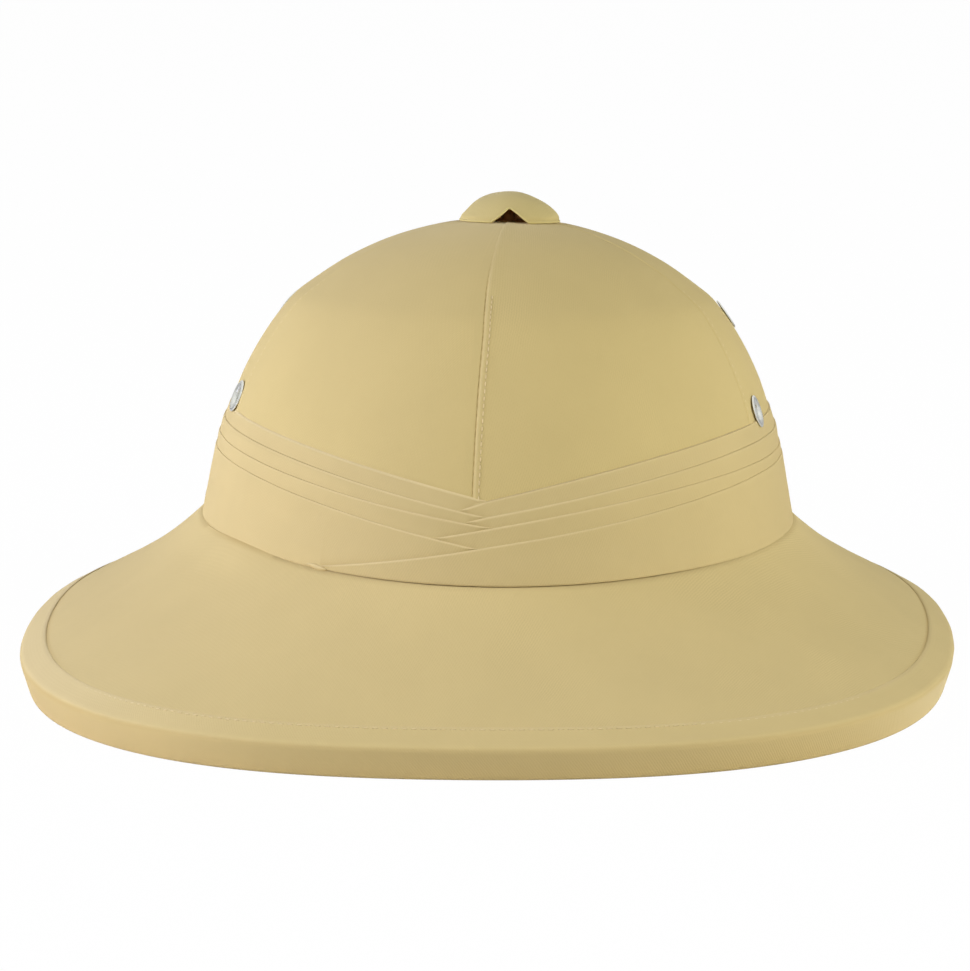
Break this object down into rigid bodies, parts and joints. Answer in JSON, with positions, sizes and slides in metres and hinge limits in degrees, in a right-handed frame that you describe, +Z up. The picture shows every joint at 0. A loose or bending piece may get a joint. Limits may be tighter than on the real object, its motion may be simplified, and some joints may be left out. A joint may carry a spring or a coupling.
{
  "type": "pith helmet",
  "caption": "Cloth-covered sun helmet: tall domed crown with side vents and a top vent cap, pleated band and a wide sloping brim with a bound, turned-down lip.",
  "frame": {"origin": "on the surface that the rim's lower edge rests on, under the middle of the rim", "axes": "+Z up, the wearer's front at -Y, the wearer's left side at +X"},
  "size_m": [0.2972, 0.345, 0.1512],
  "materials": {
    "crown_twill": "matt cotton twill, khaki",
    "brim_twill": "matt cotton twill, khaki",
    "binding_twill": "matt cotton twill, khaki, sewn",
    "band_twill": "matt cotton twill, khaki, pleated",
    "cap_twill": "matt cotton twill over a stiff dome",
    "eyelet_metal": "nickel plated, smooth, a little dulled",
    "stud_metal": "dull brass, hidden"
  },
  "bodies": {
    "root": {"crown": "crown_twill", "brim": "brim_twill", "brim_binding": "binding_twill", "pugaree": "band_twill", "vent_cap": "cap_twill", "cap_stud": "stud_metal", "eyelet_left_lower": "eyelet_metal", "eyelet_left_upper": "eyelet_metal", "eyelet_right_lower": "eyelet_metal", "eyelet_right_upper": "eyelet_metal"}
  },
  "joints": []
}
